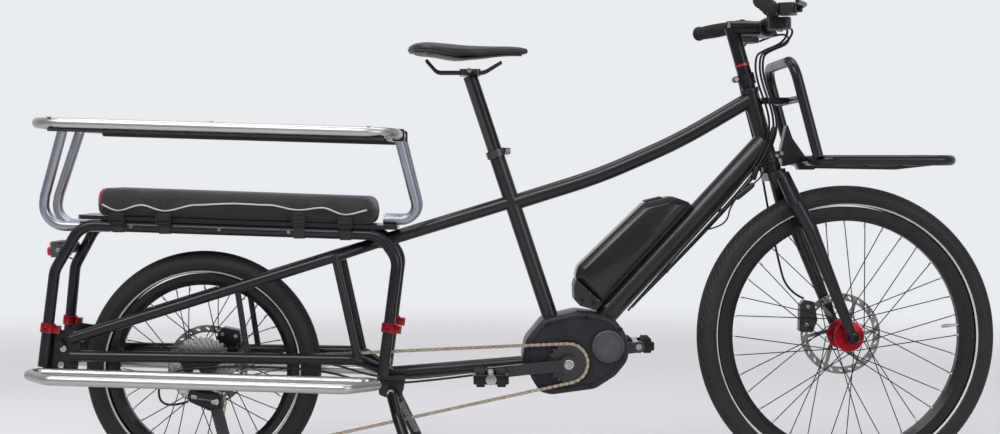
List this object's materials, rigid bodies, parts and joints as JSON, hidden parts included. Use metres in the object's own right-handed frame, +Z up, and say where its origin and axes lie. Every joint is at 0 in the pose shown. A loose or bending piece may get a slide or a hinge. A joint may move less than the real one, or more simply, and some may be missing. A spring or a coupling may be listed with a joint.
{
  "type": "cargo bicycle",
  "caption": "Longtail electric cargo bicycle with a small rear wheel, passenger rail and cushion, side racks, footrests, front rack, mid motor and centre stand.",
  "frame": {"origin": "on the ground midway between the two feet of the kickstand", "axes": "+X forward, +Y to the left of the rider, +Z up"},
  "size_m": [2.1067, 0.6407, 1.0848],
  "materials": {
    "frame_paint": "satin black powder coat",
    "rail_silver": "brushed clear-coated tube",
    "anodised_red": "red anodised aluminium",
    "tyre_rubber": "black rubber with a pale reflective line",
    "rim_black": "satin black anodised",
    "steel": "bright steel",
    "chain_steel": "oiled steel",
    "black_plastic": "moulded matte black",
    "dark_grey_plastic": "moulded dark grey",
    "rubber_black": "soft black rubber",
    "red_lens": "clear red moulding",
    "cushion_fabric": "dark woven cover",
    "strap_webbing": "black webbing",
    "cable_black": "black cable jacket",
    "alloy_black": "black anodised alloy",
    "saddle_cover": "black grained cover"
  },
  "bodies": {
    "frame": {"head_tube": "frame_paint", "seat_tube": "frame_paint", "down_tube": "frame_paint", "top_tube": "frame_paint", "upper_stays": "frame_paint", "lower_stays": "frame_paint", "side_racks": "frame_paint", "deck_plate": "alloy_black", "rack_collars": "anodised_red", "passenger_rail": "rail_silver", "rail_legs": "rail_silver", "footrests": "rail_silver", "frame_brackets": "frame_paint", "motor_housing": "black_plastic", "motor_cover": "black_plastic", "battery_dock": "dark_grey_plastic", "front_rack": "frame_paint", "seat_clamp": "alloy_black", "rear_caliper": "alloy_black", "tail_light": "black_plastic", "tail_lens": "red_lens", "cushion": "cushion_fabric", "cushion_straps": "strap_webbing", "rear_axle": "steel", "chain": "chain_steel", "derailleur_cage": "alloy_black", "derailleur_body": "alloy_black", "frame_cables": "cable_black", "frame_bolts": "steel"},
    "steering": {"fork": "frame_paint", "front_caliper": "alloy_black", "stem": "alloy_black", "stem_ring": "anodised_red", "handlebar": "alloy_black", "grips": "rubber_black", "bar_controls": "black_plastic", "display": "black_plastic", "steering_cables": "cable_black"},
    "front_wheel": {"front_tyre": "tyre_rubber", "front_rim": "rim_black", "front_hub": "anodised_red", "front_rotor": "steel"},
    "rear_wheel": {"rear_tyre": "tyre_rubber", "rear_rim": "rim_black", "rear_hub": "anodised_red", "rear_rotor": "steel"},
    "cassette": {"cassette": "steel"},
    "crankset": {"cranks": "alloy_black"},
    "sprocket": {"sprocket": "alloy_black"},
    "right_pedal": {"pedal_right": "rubber_black"},
    "left_pedal": {"pedal_left": "rubber_black"},
    "battery": {"battery_case": "black_plastic"},
    "seat": {"seatpost": "alloy_black", "saddle": "saddle_cover"},
    "kickstand": {"kickstand": "alloy_black"},
    "right_brake_lever": {"brake_lever_right": "alloy_black"},
    "left_brake_lever": {"brake_lever_left": "alloy_black"},
    "shift_lever": {"shift_lever": "alloy_black"},
    "guide_pulley": {"guide_pulley": "black_plastic"},
    "tension_pulley": {"tension_pulley": "black_plastic"}
  },
  "joints": [
    {"name": "steer", "type": "hinge", "parent": "frame", "child": "steering", "pos_m": [0.7016, 0, 0.8963], "axis": [-0.2728, 0, 0.9621], "range_deg": [-40, 40]},
    {"name": "front_wheel_spin", "type": "hinge", "parent": "steering", "child": "front_wheel", "pos_m": [0.92095, 0.00248, 0.33098], "axis": [-0.042, 0.999, -0.0119], "continuous": true},
    {"name": "rear_wheel_spin", "type": "hinge", "parent": "frame", "child": "rear_wheel", "pos_m": [-0.497, 0, 0.259], "axis": [0, 1, 0], "continuous": true},
    {"name": "crank_spin", "type": "hinge", "parent": "frame", "child": "crankset", "pos_m": [0.304, 0, 0.277], "axis": [0, 1, 0], "continuous": true},
    {"name": "sprocket_spin", "type": "hinge", "parent": "frame", "child": "sprocket", "pos_m": [0.304, 0, 0.277], "axis": [0, 1, 0], "continuous": true},
    {"name": "cassette_spin", "type": "hinge", "parent": "frame", "child": "cassette", "pos_m": [-0.497, 0, 0.259], "axis": [0, 1, 0], "continuous": true},
    {"name": "guide_pulley_spin", "type": "hinge", "parent": "frame", "child": "guide_pulley", "pos_m": [-0.463, -0.058, 0.193], "axis": [0, 1, 0], "continuous": true},
    {"name": "tension_pulley_spin", "type": "hinge", "parent": "frame", "child": "tension_pulley", "pos_m": [-0.437, -0.058, 0.094], "axis": [0, 1, 0], "continuous": true},
    {"name": "right_pedal_spin", "type": "hinge", "parent": "crankset", "child": "right_pedal", "pos_m": [0.13503, -0.09, 0.25834], "axis": [0, 1, 0], "continuous": true},
    {"name": "left_pedal_spin", "type": "hinge", "parent": "crankset", "child": "left_pedal", "pos_m": [0.47297, 0.09, 0.29566], "axis": [0, 1, 0], "continuous": true},
    {"name": "kickstand_fold", "type": "hinge", "parent": "frame", "child": "kickstand", "pos_m": [-0.082, 0, 0.212], "axis": [0, 1, 0], "range_deg": [0, 100]},
    {"name": "seat_height", "type": "slide", "parent": "frame", "child": "seat", "axis": [-0.3163, 0, 0.9487], "range_m": [-0.12, 0.06]},
    {"name": "battery_slide", "type": "slide", "parent": "frame", "child": "battery", "axis": [0.6781, 0, 0.735], "range_m": [0, 0.06]},
    {"name": "right_brake_squeeze", "type": "hinge", "parent": "steering", "child": "right_brake_lever", "pos_m": [0.77533, -0.19257, 1.03332], "axis": [-0.0003, 0.0119, 0.9999], "range_deg": [0, 14], "stiffness_Nm_per_rad": 0.6},
    {"name": "left_brake_squeeze", "type": "hinge", "parent": "steering", "child": "left_brake_lever", "pos_m": [0.75878, 0.20128, 1.02863], "axis": [-0.0003, 0.0119, 0.9999], "range_deg": [-14, 0], "stiffness_Nm_per_rad": 0.6},
    {"name": "shift_push", "type": "hinge", "parent": "steering", "child": "shift_lever", "pos_m": [0.74841, -0.13301, 0.9896], "axis": [-0.0003, 0.0119, 0.9999], "range_deg": [0, 20], "stiffness_Nm_per_rad": 0.2}
  ],
  "couplings": [
    {"joint": "sprocket_spin", "follows": "crank_spin", "ratio": 2.5},
    {"joint": "cassette_spin", "follows": "crank_spin", "ratio": 4.375},
    {"joint": "guide_pulley_spin", "follows": "crank_spin", "ratio": -4.7727},
    {"joint": "tension_pulley_spin", "follows": "crank_spin", "ratio": 4.7727}
  ]
}
